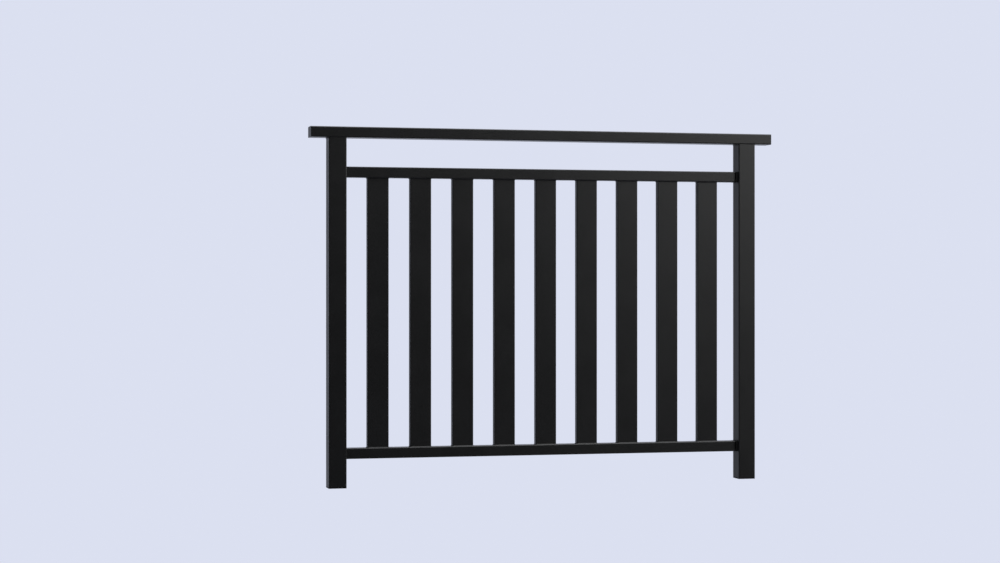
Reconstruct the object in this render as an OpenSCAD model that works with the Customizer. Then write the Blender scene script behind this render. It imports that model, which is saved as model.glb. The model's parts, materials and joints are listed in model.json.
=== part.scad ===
// Juliet balcony: two square posts under a flat handrail, with two infill rails
// between the posts and a row of upright flat-tube slats.
//
// Frame: +X to the right along the facade, +Y into the wall, +Z up, millimetres.
// The wall is the plane Y = 0. The origin is the middle of the lower left
// stand-off's wall face, so the left post stands on X = 0.

/* [Overall] */
// Distance between the centre lines of the two posts
post_centres = 1200; // [800:10:2400]
// Height from the foot of the posts to the top of the handrail
overall_height = 1000; // [850:10:1300]

/* [Posts] */
// Width and depth of the square post tube
post_size = 50; // [40:1:80]
// Wall of the post tube
post_wall = 2; // [1.5:0.5:4]
// Outer corner radius of the post tube
post_radius = 3; // [1:0.5:5]
// Thickness of the foot cap's flange
cap_flange = 3; // [2:0.5:5]
// How far the foot cap's skirt reaches into the post
cap_skirt = 18; // [10:1:30]

/* [Handrail] */
// How far the handrail stands proud of the posts at the front and at the back
handrail_proud = 0; // [0:1:15]
// Height of the handrail
handrail_height = 30; // [20:1:50]
// Wall of the handrail tube
handrail_wall = 2; // [1.5:0.5:4]
// Outer corner radius of the handrail tube
handrail_radius = 3; // [1:0.5:5]
// How far the handrail runs past the outer face of each post
handrail_overhang = 50; // [5:5:150]
// Thickness of the plate that closes each end of the handrail
end_plate = 2; // [1.5:0.5:5]

/* [Infill rails] */
// Height of each infill rail
rail_height = 30; // [20:1:50]
// Depth of each infill rail, front to back
rail_depth = 30; // [26:1:40]
// Wall of the infill rail tube
rail_wall = 2; // [1.5:0.5:3]
// Outer corner radius of the infill rail tube
rail_radius = 2.5; // [1:0.5:4]
// Clear space between the handrail and the top rail
top_gap = 80; // [40:5:120]
// Clear height from the foot of the posts to the bottom rail
foot_gap = 80; // [40:5:120]

/* [Slats] */
// Number of slats between the posts
slat_count = 9; // [5:1:17]
// Width of one slat along the facade
slat_width = 60; // [20:1:72]
// Depth of one slat, front to back
slat_depth = 20; // [10:1:24]
// Wall of the slat tube
slat_wall = 1.5; // [1:0.5:3]
// Outer corner radius of the slat tube
slat_radius = 2; // [1:0.5:3]

/* [Rail shoes] */
// Thickness of the shoe between a rail's right end and the post
shoe_plate = 7; // [4:1:12]
// How far the shoe's plate stands proud of the rail at the front and at the back
shoe_lip = 5; // [0:0.5:5]
// Outer corner radius of the shoe
shoe_radius = 2; // [1:0.5:3]
// How far the shoe's plug reaches into the rail
shoe_plug = 22; // [12:1:40]
// Space all round between a moulded plug or skirt and the tube it fits
plug_clearance = 0.3; // [0.2:0.1:0.6]
// Wall of the moulded plugs and skirts
plug_wall = 2.5; // [2:0.5:4]

/* [Wall fixings] */
// Distance from the wall to the back of the posts
standoff_length = 40; // [20:1:80]
// Diameter of the stand-off
standoff_d = 18; // [16:1:24]
// Height of the lower stand-offs above the foot of the posts
lower_fixing = 150; // [60:5:250]
// Distance from the underside of the handrail down to the upper stand-offs
upper_fixing = 120; // [40:5:250]
// Threaded bore in the wall face of the stand-off
bore_d = 10; // [8:1:10]
// Solid metal left between the end of the bore and the post
bore_end = 8; // [4:1:12]
// Diameter of the neck that hangs in the post's keyhole
neck_d = 12; // [8:1:12]
// Diameter of the head behind the post's rear wall
head_d = 20; // [18:1:26]
// Thickness of the head
head_thickness = 4; // [3:0.5:6]
// Space between the neck or the head and the keyhole
keyhole_clearance = 0.5; // [0.2:0.1:1]
// Metal left between the stand-off's seat and the keyhole's entry
keyhole_land = 5; // [2:1:12]

/* [Hidden] */
$fn = 48;
// How far a cut runs past the faces that it opens
cut_past = 1;
// Least inner corner radius of a tube
sharp_radius = 0.4;

foot_z = -lower_fixing;
handrail_z = foot_z + overall_height - handrail_height;
top_rail_z = handrail_z - top_gap - rail_height;
bottom_rail_z = foot_z + foot_gap;
slat_z = bottom_rail_z + rail_height;
slat_length = top_rail_z - slat_z;

centre_y = -standoff_length - post_size / 2;
left_x = 0;
right_x = post_centres;
inner_x = left_x + post_size / 2;
clear_width = post_centres - post_size;
fixing_rise = overall_height - handrail_height - lower_fixing - upper_fixing;
handrail_depth = post_size + 2 * handrail_proud;
shoe_depth = rail_depth + 2 * shoe_lip;
keyhole_drop = (standoff_d + head_d) / 2 + keyhole_land;
bore_depth = standoff_length - bore_end;
slat_gap = (clear_width - slat_count * slat_width) / (slat_count + 1);
handrail_x = left_x - post_size / 2 - handrail_overhang;
handrail_length = post_centres + post_size + 2 * handrail_overhang;
rail_length = clear_width - shoe_plate;

coat_black = [0.045, 0.045, 0.048];
plastic_black = [0.02, 0.02, 0.02];
zinc_grey = [0.62, 0.64, 0.66];

slat_names = [for (i = [1:slat_count]) str("slat_", i)];

// Rectangle about the origin with true round corners
module rounded_rect(w, h, r) {
    square([w, h - 2 * r], center = true);
    square([w - 2 * r, h], center = true);
    for (x = [-1, 1], y = [-1, 1])
        translate([x * (w / 2 - r), y * (h / 2 - r)]) circle(r);
}

// Section of a tube: the inner corners follow the outer ones
module tube_section(w, h, wall, r) {
    difference() {
        rounded_rect(w, h, r);
        rounded_rect(w - 2 * wall, h - 2 * wall, max(r - wall, sharp_radius));
    }
}

// Extrudes a section along +X: its own X becomes depth, its own Y height
module along_x(length) {
    rotate([90, 0, 90]) linear_extrude(length) children();
}

// Keyhole in the rear wall of a post: the head enters below and the neck
// slides up into the slot
module keyhole() {
    slot_w = neck_d + 2 * keyhole_clearance;
    entry_d = head_d + 2 * keyhole_clearance;
    cut = post_wall + 2 * cut_past;
    translate([0, -standoff_length + cut_past, 0]) rotate([90, 0, 0]) {
        cylinder(h = cut, d = slot_w);
        translate([-slot_w / 2, -keyhole_drop, 0]) cube([slot_w, keyhole_drop, cut]);
        translate([0, -keyhole_drop, 0]) cylinder(h = cut, d = entry_d);
    }
}

module post(x) {
    color(coat_black) difference() {
        translate([x, centre_y, foot_z + cap_flange])
            linear_extrude(handrail_z - foot_z - cap_flange)
                tube_section(post_size, post_size, post_wall, post_radius);
        for (z = [0, fixing_rise]) translate([x, 0, z]) keyhole();
    }
}

// Moulded cap: a flange as wide as the post and a skirt inside it
module foot_cap(x) {
    skirt = post_size - 2 * post_wall - 2 * plug_clearance;
    color(plastic_black) translate([x, centre_y, foot_z]) {
        linear_extrude(cap_flange) rounded_rect(post_size, post_size, post_radius);
        linear_extrude(cap_flange + cap_skirt)
            tube_section(skirt, skirt, plug_wall, post_radius);
    }
}

module handrail() {
    color(coat_black)
        translate([handrail_x + end_plate, centre_y, handrail_z + handrail_height / 2])
            along_x(handrail_length - 2 * end_plate)
                tube_section(handrail_depth, handrail_height, handrail_wall, handrail_radius);
}

module handrail_end_plate(x) {
    color(coat_black) translate([x, centre_y, handrail_z + handrail_height / 2])
        along_x(end_plate) rounded_rect(handrail_depth, handrail_height, handrail_radius);
}

module infill_rail(z) {
    color(coat_black) translate([inner_x, centre_y, z + rail_height / 2])
        along_x(rail_length) tube_section(rail_depth, rail_height, rail_wall, rail_radius);
}

// Moulded shoe: a plate against the right post and a plug inside the rail
module rail_shoe(z) {
    plug_h = rail_height - 2 * rail_wall - 2 * plug_clearance;
    plug_d = rail_depth - 2 * rail_wall - 2 * plug_clearance;
    color(plastic_black) translate([inner_x + rail_length, centre_y, z + rail_height / 2]) {
        along_x(shoe_plate) rounded_rect(shoe_depth, rail_height, shoe_radius);
        translate([-shoe_plug, 0, 0]) along_x(shoe_plug + shoe_plate / 2)
            tube_section(plug_d, plug_h, plug_wall, shoe_radius);
    }
}

module slat(i) {
    x = inner_x + i * slat_gap + (i - 0.5) * slat_width;
    color(coat_black) translate([x, centre_y, slat_z])
        linear_extrude(slat_length) tube_section(slat_width, slat_depth, slat_wall, slat_radius);
}

// Turned stand-off: threaded bore at the wall, neck and head in the keyhole
module standoff(x, z) {
    neck_length = post_wall + keyhole_clearance;
    color(zinc_grey) translate([x, 0, z]) rotate([90, 0, 0]) difference() {
        union() {
            cylinder(h = standoff_length, d = standoff_d);
            cylinder(h = standoff_length + neck_length + head_thickness / 2, d = neck_d);
            translate([0, 0, standoff_length + neck_length])
                cylinder(h = head_thickness, d = head_d);
        }
        translate([0, 0, -cut_past]) cylinder(h = bore_depth + cut_past, d = bore_d);
    }
}

post(left_x);  // left_post
post(right_x);  // right_post
foot_cap(left_x);  // left_foot_cap
foot_cap(right_x);  // right_foot_cap
handrail();
handrail_end_plate(handrail_x);  // handrail_left_end_plate
handrail_end_plate(handrail_x + handrail_length - end_plate);  // handrail_right_end_plate
infill_rail(top_rail_z);  // top_rail
infill_rail(bottom_rail_z);  // bottom_rail
rail_shoe(top_rail_z);  // top_rail_shoe
rail_shoe(bottom_rail_z);  // bottom_rail_shoe
standoff(left_x, 0);  // lower_left_standoff
standoff(left_x, fixing_rise);  // upper_left_standoff
standoff(right_x, 0);  // lower_right_standoff
standoff(right_x, fixing_rise);  // upper_right_standoff
for (i = [1:slat_count])
    slat(i);
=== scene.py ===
"""Juliet balcony: surface finishes, weld beads, threads and a plain studio around the packed frame."""

import json
import math

import bmesh
import bpy
from bpy.props import (
    FloatProperty,
    FloatVectorProperty,
    IntProperty,
    PointerProperty,
)
from mathutils import Matrix, Vector


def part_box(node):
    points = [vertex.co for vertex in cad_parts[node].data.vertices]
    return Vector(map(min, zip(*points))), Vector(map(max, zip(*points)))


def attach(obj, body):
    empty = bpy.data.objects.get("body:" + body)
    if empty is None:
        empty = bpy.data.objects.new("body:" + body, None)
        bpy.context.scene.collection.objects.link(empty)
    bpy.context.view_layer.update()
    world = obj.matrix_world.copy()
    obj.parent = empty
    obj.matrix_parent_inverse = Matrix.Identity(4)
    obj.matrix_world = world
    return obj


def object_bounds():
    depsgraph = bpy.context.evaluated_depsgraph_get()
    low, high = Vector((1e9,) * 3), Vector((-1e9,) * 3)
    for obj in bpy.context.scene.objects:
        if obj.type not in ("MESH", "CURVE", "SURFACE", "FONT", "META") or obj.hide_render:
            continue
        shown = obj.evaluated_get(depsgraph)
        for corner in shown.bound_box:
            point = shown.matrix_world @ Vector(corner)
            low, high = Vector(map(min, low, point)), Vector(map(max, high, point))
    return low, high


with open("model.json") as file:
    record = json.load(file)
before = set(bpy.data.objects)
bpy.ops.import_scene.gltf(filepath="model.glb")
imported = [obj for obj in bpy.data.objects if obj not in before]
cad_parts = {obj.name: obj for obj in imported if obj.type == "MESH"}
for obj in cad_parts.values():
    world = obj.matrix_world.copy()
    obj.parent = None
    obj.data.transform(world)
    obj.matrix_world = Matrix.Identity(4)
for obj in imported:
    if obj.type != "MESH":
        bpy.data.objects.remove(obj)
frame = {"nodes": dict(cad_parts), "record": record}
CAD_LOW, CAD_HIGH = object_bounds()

bl_info = {
    "name": "Juliet balcony",
    "version": (1, 0, 0),
    "blender": (4, 5, 0),
    "location": "View3D > Sidebar > Balcony",
    "description": "Finishes the packed balcony: powder coat, mouldings, stand-offs, welds and a studio",
    "category": "Object",
}

BODY = "root"
NODES = frame["nodes"]
SLATS = sorted(name for name in NODES if name.startswith("slat_"))
POSTS = ["left_post", "right_post"]
RAILS = ["top_rail", "bottom_rail"]
HANDRAIL = ["handrail", "handrail_left_end_plate", "handrail_right_end_plate"]
MOULDINGS = ["left_foot_cap", "right_foot_cap", "top_rail_shoe", "bottom_rail_shoe"]
STANDOFFS = sorted(name for name in NODES if name.endswith("_standoff"))
DUST_COLOUR = (0.30, 0.29, 0.27)
UP = Vector((0, 0, 1))
Y_AXIS = Vector((0, 1, 0))


def bore_of(name):
    """Radius and depth of a stand-off's threaded bore, in metres, from the packed mounts."""
    wanted = name.replace("_standoff", "_thread")
    for mount in frame["record"]["mounts"]:
        if mount["name"] == wanted:
            return mount["dims"]["r_mm"] / 1000, mount["dims"]["length_mm"] / 1000
    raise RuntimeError(f"no mount is named {wanted}")


# ---------------------------------------------------------------- settings


class CoatSettings(bpy.types.PropertyGroup):
    """Black powder coat on the tubes."""

    colour: FloatVectorProperty(
        name="Coat colour", description="Colour of the powder coat", subtype="COLOR",
        size=3, min=0, max=1, default=(0.0030, 0.0030, 0.0030))
    roughness: FloatProperty(
        name="Roughness", description="Mean roughness of the satin coat", min=0, max=1, default=0.385)
    peel_size: FloatProperty(
        name="Peel size", description="Distance between the waves of the orange peel",
        unit="LENGTH", min=0.0005, default=0.0030)
    peel_height: FloatProperty(
        name="Peel height", description="Height of the orange peel", unit="LENGTH",
        min=0, default=0.00005)
    rub: FloatProperty(
        name="Corner rub", description="How far hands have polished the corners", min=0, max=1, default=0.6)
    dust: FloatProperty(
        name="Dust", description="Dust on faces that look up", min=0, max=1, default=0.16)


class MouldingSettings(bpy.types.PropertyGroup):
    """Matt black plastic of the caps and shoes."""

    colour: FloatVectorProperty(
        name="Plastic colour", description="Colour of the moulded plastic", subtype="COLOR",
        size=3, min=0, max=1, default=(0.0014, 0.0014, 0.0014))
    roughness: FloatProperty(
        name="Roughness", description="Mean roughness of the moulded skin", min=0, max=1, default=0.72)
    grain_size: FloatProperty(
        name="Grain size", description="Size of the eroded mould grain", unit="LENGTH",
        min=0.0002, default=0.0008)
    grain_height: FloatProperty(
        name="Grain height", description="Height of the eroded mould grain", unit="LENGTH",
        min=0, default=0.00003)
    rub: FloatProperty(
        name="Corner rub", description="How far the corners are rubbed smooth", min=0, max=1, default=0.8)
    dust: FloatProperty(
        name="Dust", description="Dust on faces that look up", min=0, max=1, default=0.1)


class SteelSettings(bpy.types.PropertyGroup):
    """Zinc-plated turned steel of the stand-offs."""

    colour: FloatVectorProperty(
        name="Zinc colour", description="Colour of the plating", subtype="COLOR",
        size=3, min=0, max=1, default=(0.56, 0.58, 0.60))
    roughness: FloatProperty(
        name="Roughness", description="Mean roughness of the plating", min=0, max=1, default=0.42)
    mark_height: FloatProperty(
        name="Tool marks", description="Height of the marks left by turning", unit="LENGTH",
        min=0, default=0.00001)
    thread_pitch: FloatProperty(
        name="Thread pitch", description="Pitch of the thread in each stand-off", unit="LENGTH",
        min=0.0005, default=0.0015)
    thread_depth: FloatProperty(
        name="Thread depth", description="Height of the thread's crest over its root", unit="LENGTH",
        min=0.0002, default=0.0008)


class WeldSettings(bpy.types.PropertyGroup):
    """Fillet welds where the tubes meet."""

    radius: FloatProperty(
        name="Bead radius", description="Radius of a weld bead", unit="LENGTH", min=0.0005, default=0.0017)
    ripple: FloatProperty(
        name="Ripple pitch", description="Distance between the ripples of a bead", unit="LENGTH",
        min=0.0005, default=0.0016)
    ripple_share: FloatProperty(
        name="Ripple height", description="Height of a ripple as a share of the radius",
        min=0, max=0.5, default=0.11)
    sides: IntProperty(
        name="Bead sides", description="Sides of a bead's round section", min=6, default=10)


class StageSettings(bpy.types.PropertyGroup):
    """Floor, lamps, background and camera."""

    backdrop: FloatVectorProperty(
        name="Background", description="Colour of the background", subtype="COLOR",
        size=3, min=0, max=1, default=(0.71, 0.745, 0.875))
    floor_colour: FloatVectorProperty(
        name="Floor", description="Colour of the floor", subtype="COLOR",
        size=3, min=0, max=1, default=(0.56, 0.57, 0.61))
    floor_drop: FloatProperty(
        name="Floor drop", description="Height of the balcony's feet over the floor", unit="LENGTH",
        min=0, default=1.1)
    key_around: FloatProperty(
        name="Softbox around", description="How far the softbox stands round to the right",
        subtype="ANGLE", default=math.radians(57))
    key_above: FloatProperty(
        name="Softbox above", description="Height of the softbox seen from the balcony",
        subtype="ANGLE", default=math.radians(37))
    key_distance: FloatProperty(
        name="Softbox distance", description="Distance from the softbox to the balcony's middle",
        unit="LENGTH", min=0.5, default=4.1)
    key_size: FloatProperty(
        name="Softbox size", description="Side of the square softbox", unit="LENGTH",
        min=0.05, default=5.2)
    key_power: FloatProperty(
        name="Softbox power", description="Power of the softbox", unit="POWER", min=0, default=220)
    top_power: FloatProperty(
        name="Overhead power", description="Power of the overhead softbox", unit="POWER",
        min=0, default=55)
    lens: FloatProperty(
        name="Lens", description="Focal length for a 36 mm wide sensor, in millimetres",
        min=1, default=75.92)
    distance: FloatProperty(
        name="Camera distance", description="Distance from the camera to the middle of the balcony",
        unit="LENGTH", min=0.5, default=6.012)
    around: FloatProperty(
        name="Camera around", description="How far the camera stands round to the left",
        subtype="ANGLE", default=math.radians(15.35))
    above: FloatProperty(
        name="Camera above", description="How far the camera stands over the balcony's middle",
        subtype="ANGLE", default=math.radians(0.59))
    turn: FloatProperty(
        name="Camera turn", description="How far the camera looks to the right of square",
        subtype="ANGLE", default=math.radians(14.175))
    tilt: FloatProperty(
        name="Camera tilt", description="How far the camera looks up", subtype="ANGLE",
        default=math.radians(0.095))


SETTINGS = {
    "balcony_coat": CoatSettings,
    "balcony_moulding": MouldingSettings,
    "balcony_steel": SteelSettings,
    "balcony_weld": WeldSettings,
    "balcony_stage": StageSettings,
}


# ---------------------------------------------------------------- node helpers


def socket(group, name, kind, default=None, out=False):
    """Adds one named socket to a node group."""
    made = group.interface.new_socket(
        name=name, in_out="OUTPUT" if out else "INPUT", socket_type=f"NodeSocket{kind}")
    if default is not None:
        made.default_value = default


def math_node(tree, operation, first, second, clamp=False):
    """A Math node whose inputs are sockets or numbers; returns its output."""
    node = tree.nodes.new("ShaderNodeMath")
    node.operation = operation
    node.use_clamp = clamp
    for slot, value in zip(node.inputs, (first, second)):
        if isinstance(value, bpy.types.NodeSocket):
            tree.links.new(value, slot)
        else:
            slot.default_value = value
    return node.outputs[0]


def noise(tree, vector, scale, detail=2.0, roughness=0.5):
    """A noise texture; scale is a socket or a number. Returns the factor output."""
    node = tree.nodes.new("ShaderNodeTexNoise")
    node.inputs["Detail"].default_value = detail
    node.inputs["Roughness"].default_value = roughness
    tree.links.new(vector, node.inputs["Vector"])
    if isinstance(scale, bpy.types.NodeSocket):
        tree.links.new(scale, node.inputs["Scale"])
    else:
        node.inputs["Scale"].default_value = scale
    return node.outputs["Fac"]


def ramp(tree, value, low, high, to_low=0.0, to_high=1.0):
    """A clamped smooth map of value from low..high to to_low..to_high."""
    node = tree.nodes.new("ShaderNodeMapRange")
    node.interpolation_type = "SMOOTHSTEP"
    tree.links.new(value, node.inputs["Value"])
    for name, number in (("From Min", low), ("From Max", high), ("To Min", to_low), ("To Max", to_high)):
        node.inputs[name].default_value = number
    return node.outputs["Result"]


def mix_colour(tree, factor, first, second):
    """A colour mix by a factor socket; first and second are sockets or colours. Returns its output."""
    node = tree.nodes.new("ShaderNodeMix")
    node.data_type = "RGBA"
    for name, value in (("Factor", factor), ("A", first), ("B", second)):
        slot = [s for s in node.inputs if s.name == name and s.enabled][0]
        if isinstance(value, bpy.types.NodeSocket):
            tree.links.new(value, slot)
        else:
            slot.default_value = (*value[:3], 1.0)
    return [s for s in node.outputs if s.enabled][0]


def group_start(name):
    """A new shader group with its input and output nodes."""
    group = bpy.data.node_groups.new(name, "ShaderNodeTree")
    return group, group.nodes.new("NodeGroupInput"), group.nodes.new("NodeGroupOutput")


def place_group(tree, group, vector, **values):
    """Puts a group in a material, fed with its own values. Returns the node."""
    node = tree.nodes.new("ShaderNodeGroup")
    node.node_tree = group
    tree.links.new(vector, node.inputs["Vector"])
    for name, value in values.items():
        slot = node.inputs[name.replace("_", " ")]
        if isinstance(value, bpy.types.NodeSocket):
            tree.links.new(value, slot)
        else:
            slot.default_value = value
    return node


# ---------------------------------------------------------------- shader groups


def skin_group():
    """Waves and grain of a sprayed or moulded skin, with a slow mottle for colour and roughness."""
    group, given, out = group_start("Skin texture")
    socket(group, "Vector", "Vector")
    socket(group, "Wave Size", "Float", 0.003)
    socket(group, "Grain Size", "Float", 0.0008)
    socket(group, "Grain Share", "Float", 0.35)
    socket(group, "Height", "Float", out=True)
    socket(group, "Mottle", "Float", out=True)
    vector = given.outputs["Vector"]
    wave_scale = math_node(group, "DIVIDE", 1.0, given.outputs["Wave Size"])
    grain_scale = math_node(group, "DIVIDE", 1.0, given.outputs["Grain Size"])
    wave = noise(group, vector, wave_scale, detail=1.0)
    grain = noise(group, vector, grain_scale, roughness=0.6)
    grain_part = math_node(group, "MULTIPLY", grain, given.outputs["Grain Share"])
    group.links.new(math_node(group, "ADD", wave, grain_part), out.inputs["Height"])
    mottle_scale, mottle_low, mottle_high = 9.0, 0.3, 0.7
    slow = noise(group, vector, mottle_scale, detail=4.0, roughness=0.62)
    group.links.new(ramp(group, slow, mottle_low, mottle_high), out.inputs["Mottle"])
    return group


def dust_group():
    """Dust that settles on faces that look up, in loose patches."""
    group, given, out = group_start("Settled dust")
    socket(group, "Vector", "Vector")
    socket(group, "Facing", "Vector")
    socket(group, "Amount", "Float", 0.2)
    socket(group, "Mask", "Float", out=True)
    parts = group.nodes.new("ShaderNodeSeparateXYZ")
    group.links.new(given.outputs["Facing"], parts.inputs[0])
    steep, level = 0.55, 0.95
    upward = ramp(group, parts.outputs["Z"], steep, level)
    patch_scale, patch_low, patch_high, thin_patch = 14.0, 0.35, 0.75, 0.35
    cloud = noise(group, given.outputs["Vector"], patch_scale, detail=5.0, roughness=0.6)
    patches = ramp(group, cloud, patch_low, patch_high, thin_patch, 1.0)
    speck_scale, speck_low, speck_high, thin_speck = 420.0, 0.4, 0.7, 0.6
    speckle = noise(group, given.outputs["Vector"], speck_scale)
    specks = ramp(group, speckle, speck_low, speck_high, thin_speck, 1.0)
    spread = math_node(group, "MULTIPLY", patches, specks)
    lying = math_node(group, "MULTIPLY", upward, spread)
    group.links.new(
        math_node(group, "MULTIPLY", lying, given.outputs["Amount"], clamp=True), out.inputs["Mask"])
    return group


def corner_group():
    """The round corners of a square section, where a coat runs thin and hands rub it smooth.

    On a flat side one part of the normal is 1, so a corner is where the largest part falls short."""
    group, given, out = group_start("Corner rub")
    socket(group, "Vector", "Vector")
    socket(group, "Facing", "Vector")
    socket(group, "Amount", "Float", 0.5)
    socket(group, "Mask", "Float", out=True)
    absolute = group.nodes.new("ShaderNodeVectorMath")
    absolute.operation = "ABSOLUTE"
    group.links.new(given.outputs["Facing"], absolute.inputs[0])
    parts = group.nodes.new("ShaderNodeSeparateXYZ")
    group.links.new(absolute.outputs[0], parts.inputs[0])
    larger = math_node(group, "MAXIMUM", parts.outputs["X"], parts.outputs["Y"])
    largest = math_node(group, "MAXIMUM", larger, parts.outputs["Z"])
    flat_side, round_corner = 0.99, 0.80
    corner = ramp(group, largest, flat_side, round_corner)
    break_scale, break_low, break_high, faint = 60.0, 0.35, 0.65, 0.35
    chance = noise(group, given.outputs["Vector"], break_scale, detail=4.0, roughness=0.65)
    breaks = ramp(group, chance, break_low, break_high, faint, 1.0)
    worn = math_node(group, "MULTIPLY", corner, breaks)
    group.links.new(
        math_node(group, "MULTIPLY", worn, given.outputs["Amount"], clamp=True), out.inputs["Mask"])
    return group


def shared_group(name, maker):
    """The named group, made once."""
    return bpy.data.node_groups.get(name) or maker()


# ---------------------------------------------------------------- materials


def material_start(name):
    """An empty node material with a Principled shader and object coordinates."""
    made = bpy.data.materials.new(name)
    made.use_nodes = True
    tree = made.node_tree
    tree.nodes.clear()
    out = tree.nodes.new("ShaderNodeOutputMaterial")
    shader = tree.nodes.new("ShaderNodeBsdfPrincipled")
    tree.links.new(shader.outputs["BSDF"], out.inputs["Surface"])
    place = tree.nodes.new("ShaderNodeTexCoord").outputs["Object"]
    return made, tree, shader, place


def add_bump(tree, shader, height, distance):
    """Bump of that height, in metres, on the shader."""
    bump = tree.nodes.new("ShaderNodeBump")
    bump.inputs["Strength"].default_value = 1.0
    bump.inputs["Distance"].default_value = distance
    tree.links.new(height, bump.inputs["Height"])
    tree.links.new(bump.outputs["Normal"], shader.inputs["Normal"])


def mottled_roughness(tree, mottle, roughness, spread):
    """Roughness that wanders with the mottle, by spread on either side of its mean."""
    return ramp(tree, mottle, 0.0, 1.0, roughness - spread, roughness + spread)


def worn_colour(tree, shader, place, settings, mottle, darker, paler, rubbed_colour):
    """A mottled colour, rubbed at the corners and dusty on top. Returns the masks of rub and dust."""
    facing = tree.nodes.new("ShaderNodeNewGeometry").outputs["Normal"]
    dust = place_group(
        tree, shared_group("Settled dust", dust_group), place, Facing=facing, Amount=settings.dust)
    rub = place_group(
        tree, shared_group("Corner rub", corner_group), place, Facing=facing, Amount=settings.rub)
    colour = Vector(settings.colour)
    mottled = mix_colour(tree, mottle, colour * darker, colour * paler)
    rubbed = mix_colour(tree, rub.outputs["Mask"], mottled, rubbed_colour)
    dusted = mix_colour(tree, dust.outputs["Mask"], rubbed, DUST_COLOUR)
    tree.links.new(dusted, shader.inputs["Base Color"])
    return rub.outputs["Mask"], dust.outputs["Mask"]


def coat_material(settings):
    """Satin black powder coat: orange peel, a slow mottle, thin corners and a little dust."""
    made, tree, shader, place = material_start("black_powder_coat")
    grain_size, grain_share = settings.peel_size / 4, 0.3
    skin = place_group(
        tree, shared_group("Skin texture", skin_group), place,
        Wave_Size=settings.peel_size, Grain_Size=grain_size, Grain_Share=grain_share)
    darker, paler, thin_coat = 0.9, 1.1, (0.011, 0.011, 0.0115)
    rub, dust = worn_colour(
        tree, shader, place, settings, skin.outputs["Mottle"], darker, paler, thin_coat)
    spread, polish, dulling = 0.01, -0.06, 0.5
    rough = mottled_roughness(tree, skin.outputs["Mottle"], settings.roughness, spread)
    smoother = math_node(tree, "MULTIPLY", rub, polish)
    duller = math_node(tree, "MULTIPLY", dust, dulling)
    changed = math_node(tree, "ADD", rough, math_node(tree, "ADD", smoother, duller))
    tree.links.new(changed, shader.inputs["Roughness"])
    add_bump(tree, shader, skin.outputs["Height"], settings.peel_height)
    return made


def moulding_material(settings):
    """Matt black plastic with an eroded mould grain."""
    made, tree, shader, place = material_start("black_moulded_plastic")
    wave_size, grain_share = settings.grain_size * 3, 1.2
    skin = place_group(
        tree, shared_group("Skin texture", skin_group), place,
        Wave_Size=wave_size, Grain_Size=settings.grain_size, Grain_Share=grain_share)
    darker, paler, greyed = 0.8, 1.3, (0.008, 0.008, 0.008)
    rub, _ = worn_colour(tree, shader, place, settings, skin.outputs["Mottle"], darker, paler, greyed)
    spread, polish = 0.045, -0.18
    rough = mottled_roughness(tree, skin.outputs["Mottle"], settings.roughness, spread)
    smoother = math_node(tree, "MULTIPLY", rub, polish)
    tree.links.new(math_node(tree, "ADD", rough, smoother), shader.inputs["Roughness"])
    grain_gloss = 0.12
    shader.inputs["Specular IOR Level"].default_value = grain_gloss
    add_bump(tree, shader, skin.outputs["Height"], settings.grain_height)
    return made


def zinc_material(settings):
    """Zinc-plated turned steel: bright, with tool marks round the axis and dull patches."""
    made, tree, shader, place = material_start("zinc_plated_steel")
    shader.inputs["Metallic"].default_value = 1.0
    wave_size, grain_size, grain_share = 0.004, 0.0006, 0.5
    skin = place_group(
        tree, shared_group("Skin texture", skin_group), place,
        Wave_Size=wave_size, Grain_Size=grain_size, Grain_Share=grain_share)
    colour = Vector(settings.colour)
    cloudy = 0.78
    patches = mix_colour(tree, skin.outputs["Mottle"], colour * cloudy, colour)
    tree.links.new(patches, shader.inputs["Base Color"])
    rings = tree.nodes.new("ShaderNodeTexWave")
    rings.wave_type = "BANDS"
    rings.bands_direction = "Y"
    marks_in_a_metre, wander = 900.0, 0.4
    rings.inputs["Scale"].default_value = marks_in_a_metre
    rings.inputs["Distortion"].default_value = wander
    tree.links.new(place, rings.inputs["Vector"])
    spread = 0.1
    rough = mottled_roughness(tree, skin.outputs["Mottle"], settings.roughness, spread)
    tree.links.new(rough, shader.inputs["Roughness"])
    mark_share, skin_share = 0.6, 0.5
    marks = math_node(tree, "MULTIPLY", rings.outputs["Fac"], mark_share)
    plating = math_node(tree, "MULTIPLY", skin.outputs["Height"], skin_share)
    add_bump(tree, shader, math_node(tree, "ADD", marks, plating), settings.mark_height)
    return made


def dress(names, material):
    """Gives carried-over nodes their finish."""
    for name in names:
        node = NODES[name]
        node.data.materials.clear()
        node.data.materials.append(material)


def new_piece(name, bm, material):
    """Finishes a bmesh as a piece of the object."""
    mesh = bpy.data.meshes.new(name)
    bm.to_mesh(mesh)
    bm.free()
    mesh.materials.append(material)
    mesh.shade_smooth()
    piece = bpy.data.objects.new(name, mesh)
    bpy.context.scene.collection.objects.link(piece)
    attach(piece, BODY)


def get_material(name, maker, settings):
    """The named material, made once."""
    return bpy.data.materials.get(name) or maker(settings)


# ---------------------------------------------------------------- welds


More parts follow.
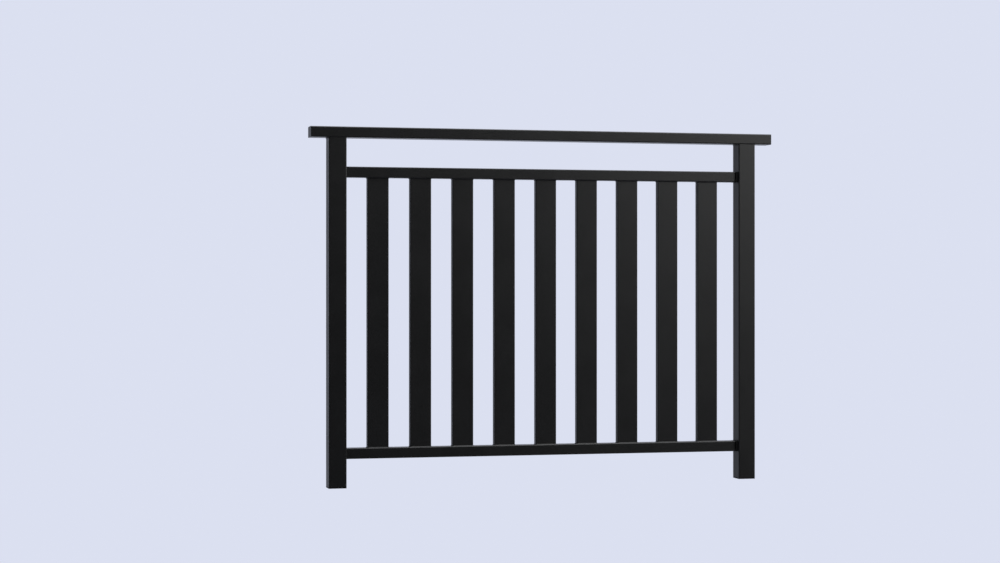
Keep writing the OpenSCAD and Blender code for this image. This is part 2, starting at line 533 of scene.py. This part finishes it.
def bead_run(bm, start, end, settings):
    """A straight weld bead from start to end: a round ring drawn along the joint, rippled and closed."""
    along = end - start
    fewest, rings_to_a_ripple = 4, 2
    count = max(fewest, round(along.length / (settings.ripple / rings_to_a_ripple)))
    turn = UP.rotation_difference(along).to_matrix().to_4x4()
    bead = bmesh.new()
    verts = bmesh.ops.create_circle(
        bead, segments=settings.sides, radius=settings.radius,
        matrix=Matrix.Translation(start) @ turn)["verts"]
    first = edges = list(bead.edges)
    taper, end_share = 3, 0.6
    for step in range(count + 1):
        if step:
            made = bmesh.ops.extrude_edge_only(bead, edges=edges)["geom"]
            verts = [item for item in made if isinstance(item, bmesh.types.BMVert)]
            edges = [item for item in made if isinstance(item, bmesh.types.BMEdge)
                     and item.is_boundary]
            bmesh.ops.translate(bead, verts=verts, vec=along / count)
        middle = start + along * (step / count)
        ripple = settings.ripple_share * (1 if step % 2 else -1)
        near_end = min(1, (min(step, count - step) + end_share) / taper)
        width = settings.radius * math.sin(math.pi / 2 * near_end) * (1 + ripple)
        for vert in verts:
            vert.co = middle + (vert.co - middle).normalized() * width
    for loop in (first, edges):
        bmesh.ops.contextual_create(bead, geom=loop)
    bmesh.ops.recalc_face_normals(bead, faces=bead.faces)
    copied = bpy.data.meshes.new("bead")
    bead.to_mesh(copied)
    bead.free()
    bm.from_mesh(copied)
    bpy.data.meshes.remove(copied)


def frame_corners(low, high, z):
    """The four corners, at height z, of a box seen from above."""
    return [Vector((low.x, low.y, z)), Vector((high.x, low.y, z)),
            Vector((high.x, high.y, z)), Vector((low.x, high.y, z))]


def weld_round(bm, corners, inset, settings):
    """Weld beads along the four sides of a tube's end, stopping short of its round corners."""
    for first, second in zip(corners, corners[1:] + corners[:1]):
        short = (second - first).normalized() * inset
        bead_run(bm, first + short, second - short, settings)


def weld_slats(settings, material):
    """Beads round the head and the foot of every slat."""
    bm = bmesh.new()
    corner_inset = 0.0012
    for name in SLATS:
        low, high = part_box(name)
        for z in (low.z, high.z):
            weld_round(bm, frame_corners(low, high, z), corner_inset, settings)
    new_piece("slat_welds", bm, material)


def weld_rails(settings, material):
    """Beads round the left end of each infill rail, where it butts on the post."""
    bm = bmesh.new()
    corner_inset = 0.0016
    for name in RAILS:
        low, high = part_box(name)
        corners = [Vector((low.x, y, z)) for y, z in
                   ((low.y, low.z), (high.y, low.z), (high.y, high.z), (low.y, high.z))]
        weld_round(bm, corners, corner_inset, settings)
    new_piece("rail_welds", bm, material)


def weld_posts(settings, material):
    """Beads on both sides of each post's head, under the handrail."""
    bm = bmesh.new()
    corner_inset = 0.003
    for name in POSTS:
        low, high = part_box(name)
        for x in (low.x, high.x):
            bead_run(bm, Vector((x, low.y + corner_inset, high.z)),
                     Vector((x, high.y - corner_inset, high.z)), settings)
    new_piece("post_welds", bm, material)


# ---------------------------------------------------------------- threads


def thread(name, settings, material):
    """The helical crest of the thread in a stand-off's bore, made by one screw of its section."""
    low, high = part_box(name)
    radius, depth = bore_of(name)
    middle = Vector(((low.x + high.x) / 2, 0, (low.z + high.z) / 2))
    pitch = settings.thread_pitch
    turns = int(depth / pitch) - 1
    steps = 20
    overlap, root_share, crest_share, lead_share = 0.0001, 0.42, 0.08, 0.7
    root, crest = radius + overlap, radius - settings.thread_depth
    half_root, half_crest = pitch * root_share, pitch * crest_share
    section = [(root, -half_root), (crest, -half_crest), (crest, half_crest), (root, half_root)]
    first_y = -pitch * lead_share
    bm = bmesh.new()
    verts = [bm.verts.new(middle + Vector((reach, first_y + y, 0))) for reach, y in section]
    edges = [bm.edges.new(pair) for pair in zip(verts, verts[1:] + verts[:1])]
    bmesh.ops.spin(
        bm, geom=verts + edges, cent=middle, axis=-Y_AXIS, dvec=-Y_AXIS * pitch / steps,
        angle=math.tau * turns, steps=steps * turns, use_merge=False, use_duplicate=False)
    bmesh.ops.holes_fill(bm, edges=[edge for edge in bm.edges if edge.is_boundary], sides=0)
    bmesh.ops.recalc_face_normals(bm, faces=bm.faces)
    new_piece(name.replace("_standoff", "_thread"), bm, material)


# ---------------------------------------------------------------- stage


def floor_material(settings):
    """Pale matt floor that fades into the background away from the balcony, and shows dimly in gloss."""
    made = bpy.data.materials.new("pale_floor")
    made.use_nodes = True
    tree = made.node_tree
    tree.nodes.clear()
    out = tree.nodes.new("ShaderNodeOutputMaterial")
    matt = tree.nodes.new("ShaderNodeBsdfDiffuse")
    matt.inputs["Color"].default_value = (*settings.floor_colour, 1)
    clear = tree.nodes.new("ShaderNodeBsdfTransparent")
    away = tree.nodes.new("ShaderNodeVectorMath")
    away.operation = "LENGTH"
    tree.links.new(tree.nodes.new("ShaderNodeTexCoord").outputs["Object"], away.inputs[0])
    full_to, gone_from = 1.6, 4.2
    fade = ramp(tree, away.outputs["Value"], full_to, gone_from)
    back = tree.nodes.new("ShaderNodeNewGeometry").outputs["Backfacing"]
    clear_to_gloss = 0.6
    glossy = tree.nodes.new("ShaderNodeLightPath").outputs["Is Glossy Ray"]
    dimmed = math_node(tree, "MULTIPLY", glossy, clear_to_gloss)
    gone = math_node(tree, "MAXIMUM", math_node(tree, "MAXIMUM", fade, back), dimmed)
    mixed = tree.nodes.new("ShaderNodeMixShader")
    tree.links.new(gone, mixed.inputs["Fac"])
    tree.links.new(matt.outputs[0], mixed.inputs[1])
    tree.links.new(clear.outputs[0], mixed.inputs[2])
    tree.links.new(mixed.outputs[0], out.inputs["Surface"])
    return made


def make_floor(settings):
    """A round floor under the balcony."""
    middle = (CAD_LOW + CAD_HIGH) / 2
    radius, segments = 4.5, 96
    bm = bmesh.new()
    bmesh.ops.create_circle(bm, cap_ends=True, segments=segments, radius=radius)
    mesh = bpy.data.meshes.new("floor")
    bm.to_mesh(mesh)
    bm.free()
    mesh.materials.append(floor_material(settings))
    floor = bpy.data.objects.new("floor", mesh)
    floor.location = (middle.x, middle.y, CAD_LOW.z - settings.floor_drop)
    bpy.context.scene.collection.objects.link(floor)


def make_world(settings):
    """An even backdrop for the camera, and a graded room for everything else.

    The room is dim in front, bright behind and overhead, and grey behind on the left.
    Each ramp runs over one part of the direction of sight, from -1 to 1."""
    world = bpy.data.worlds.new("studio")
    bpy.context.scene.world = world
    world.use_nodes = True
    tree = world.node_tree
    tree.nodes.clear()
    out = tree.nodes.new("ShaderNodeOutputWorld")
    shade = tree.nodes.new("ShaderNodeBackground")
    shade.inputs["Color"].default_value = (*settings.backdrop, 1)
    parts = tree.nodes.new("ShaderNodeSeparateXYZ")
    tree.links.new(tree.nodes.new("ShaderNodeTexCoord").outputs["Generated"], parts.inputs[0])
    front_level, screen_level, side_level = 0.01, 0.3, 0.22
    front_full, behind_full = -0.15, 0.80
    behind = ramp(tree, parts.outputs["Y"], front_full, behind_full, front_level, 1.0)
    screen_full, screen_end = -0.28, -0.12
    screen = ramp(tree, parts.outputs["X"], screen_full, screen_end, screen_level, 1.0)
    side_full, side_end = -0.9, -0.35
    side = ramp(tree, parts.outputs["X"], side_full, side_end, side_level, 0.0)
    overhead_start, overhead_full = 0.25, 0.85
    overhead = ramp(tree, parts.outputs["Z"], overhead_start, overhead_full)
    screened = math_node(tree, "MULTIPLY", behind, screen)
    level = math_node(tree, "MAXIMUM", math_node(tree, "MAXIMUM", screened, side), overhead)
    seen = tree.nodes.new("ShaderNodeLightPath").outputs["Is Camera Ray"]
    tree.links.new(math_node(tree, "MAXIMUM", seen, level), shade.inputs["Strength"])
    tree.links.new(shade.outputs[0], out.inputs["Surface"])


def make_lamp(name, around, above, distance, size, power):
    """A square soft lamp aimed at the balcony's middle; around is 0 in front and grows to the right."""
    middle = (CAD_LOW + CAD_HIGH) / 2
    light = bpy.data.lights.new(name, "AREA")
    light.shape = "SQUARE"
    light.size = size
    light.energy = power
    lamp = bpy.data.objects.new(name, light)
    level = math.cos(above)
    way = Vector((math.sin(around) * level, -math.cos(around) * level, math.sin(above)))
    lamp.location = middle + way * distance
    lamp.rotation_euler = (-way).to_track_quat("-Z", "Y").to_euler()
    bpy.context.scene.collection.objects.link(lamp)


def make_lamps(settings):
    """A large softbox in front to the right, and another overhead."""
    make_lamp("front_softbox", settings.key_around, settings.key_above, settings.key_distance,
              settings.key_size, settings.key_power)
    top_around, top_above = math.radians(-10), math.radians(78)
    top_distance, top_size = 3.5, 2.8
    make_lamp("overhead_softbox", top_around, top_above, top_distance, top_size, settings.top_power)


def make_camera(settings):
    """A long-lens camera to the left of the balcony, looking a little to the right."""
    middle = (CAD_LOW + CAD_HIGH) / 2
    camera = bpy.data.objects.new("camera", bpy.data.cameras.new("camera"))
    sensor_width = 36
    camera.data.sensor_width = sensor_width
    camera.data.lens = settings.lens
    level = math.cos(settings.above) * settings.distance
    camera.location = middle + Vector((
        -math.sin(settings.around) * level,
        -math.cos(settings.around) * level,
        math.sin(settings.above) * settings.distance))
    camera.rotation_euler = (math.pi / 2 + settings.tilt, 0, -settings.turn)
    bpy.context.scene.collection.objects.link(camera)
    bpy.context.scene.camera = camera


# ---------------------------------------------------------------- operators


class BALCONY_OT_coat(bpy.types.Operator):
    """Powder-coats the posts, the handrail, the infill rails and the slats"""

    bl_idname = "balcony.coat"
    bl_label = "Coat the tubes"

    def execute(self, context):
        material = get_material("black_powder_coat", coat_material, context.scene.balcony_coat)
        dress(POSTS + RAILS + HANDRAIL + SLATS, material)
        return {"FINISHED"}


class BALCONY_OT_mouldings(bpy.types.Operator):
    """Gives the foot caps and the rail shoes their matt plastic"""

    bl_idname = "balcony.mouldings"
    bl_label = "Finish the mouldings"

    def execute(self, context):
        material = get_material("black_moulded_plastic", moulding_material, context.scene.balcony_moulding)
        dress(MOULDINGS, material)
        return {"FINISHED"}


class BALCONY_OT_standoffs(bpy.types.Operator):
    """Plates the stand-offs and cuts their threads"""

    bl_idname = "balcony.standoffs"
    bl_label = "Finish the stand-offs"

    def execute(self, context):
        settings = context.scene.balcony_steel
        material = get_material("zinc_plated_steel", zinc_material, settings)
        dress(STANDOFFS, material)
        for name in STANDOFFS:
            thread(name, settings, material)
        return {"FINISHED"}


class BALCONY_OT_welds(bpy.types.Operator):
    """Lays the weld beads at the slats, the rails and the posts"""

    bl_idname = "balcony.welds"
    bl_label = "Lay the welds"

    def execute(self, context):
        settings = context.scene.balcony_weld
        material = get_material("black_powder_coat", coat_material, context.scene.balcony_coat)
        for weld in (weld_slats, weld_rails, weld_posts):
            weld(settings, material)
        return {"FINISHED"}


class BALCONY_OT_stage(bpy.types.Operator):
    """Sets the floor, the background, the lamps and the camera"""

    bl_idname = "balcony.stage"
    bl_label = "Set the stage"

    def execute(self, context):
        settings = context.scene.balcony_stage
        context.scene.view_settings.view_transform = "Standard"
        make_camera(settings)
        make_world(settings)
        make_floor(settings)
        make_lamps(settings)
        return {"FINISHED"}


class BALCONY_PT_sidebar(bpy.types.Panel):
    """Lists the steps that finish the balcony"""

    bl_idname = "BALCONY_PT_sidebar"
    bl_label = "Juliet balcony"
    bl_space_type = "VIEW_3D"
    bl_region_type = "UI"
    bl_category = "Balcony"

    def draw(self, context):
        for operator in OPERATORS:
            self.layout.operator(operator.bl_idname)
        for name, settings in SETTINGS.items():
            box = self.layout.box()
            box.label(text=settings.__doc__)
            for field in settings.__annotations__:
                box.prop(getattr(context.scene, name), field)


OPERATORS = (
    BALCONY_OT_stage,
    BALCONY_OT_coat,
    BALCONY_OT_mouldings,
    BALCONY_OT_standoffs,
    BALCONY_OT_welds,
)


def register():
    for made in (*SETTINGS.values(), *OPERATORS, BALCONY_PT_sidebar):
        bpy.utils.register_class(made)
    for name, settings in SETTINGS.items():
        setattr(bpy.types.Scene, name, PointerProperty(type=settings))


def unregister():
    for name in SETTINGS:
        delattr(bpy.types.Scene, name)
    for made in (BALCONY_PT_sidebar, *reversed(OPERATORS), *reversed(list(SETTINGS.values()))):
        bpy.utils.unregister_class(made)


def main():
    register()
    for operator in (
        bpy.ops.balcony.stage,
        bpy.ops.balcony.coat,
        bpy.ops.balcony.mouldings,
        bpy.ops.balcony.standoffs,
        bpy.ops.balcony.welds,
    ):
        operator()


if __name__ == "__main__":
    main()
